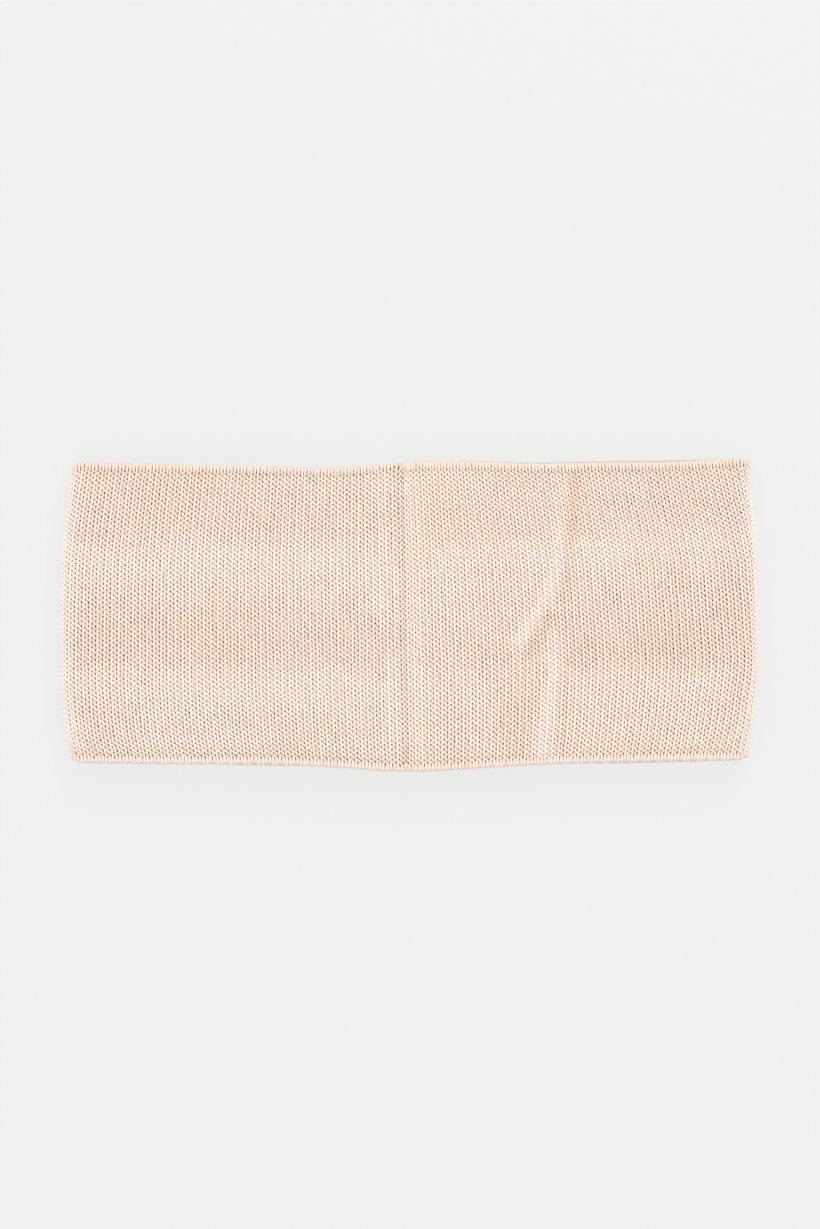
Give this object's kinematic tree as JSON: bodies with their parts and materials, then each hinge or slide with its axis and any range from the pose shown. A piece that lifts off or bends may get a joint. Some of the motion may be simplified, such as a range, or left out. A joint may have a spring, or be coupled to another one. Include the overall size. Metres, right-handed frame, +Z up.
{
  "type": "ear warmer headband",
  "caption": "Wide knitted ear warmer headband lying flat: a soft tube of stocking stitch with rolled edges and a seam up the front.",
  "frame": {"origin": "middle of the underside that rests on the table", "axes": "+X from the left fold to the right fold, +Y from the lower edge to the upper edge, +Z up from the table"},
  "size_m": [0.2299, 0.1033, 0.0109],
  "materials": {
    "cream_knit": "matt knitted yarn, stocking stitch",
    "cream_edge": "matt knitted yarn, rolled edge"
  },
  "bodies": {
    "root": {"knit_band": "cream_knit", "upper_edge": "cream_edge", "lower_edge": "cream_edge", "seam_allowance": "cream_knit"}
  },
  "joints": []
}
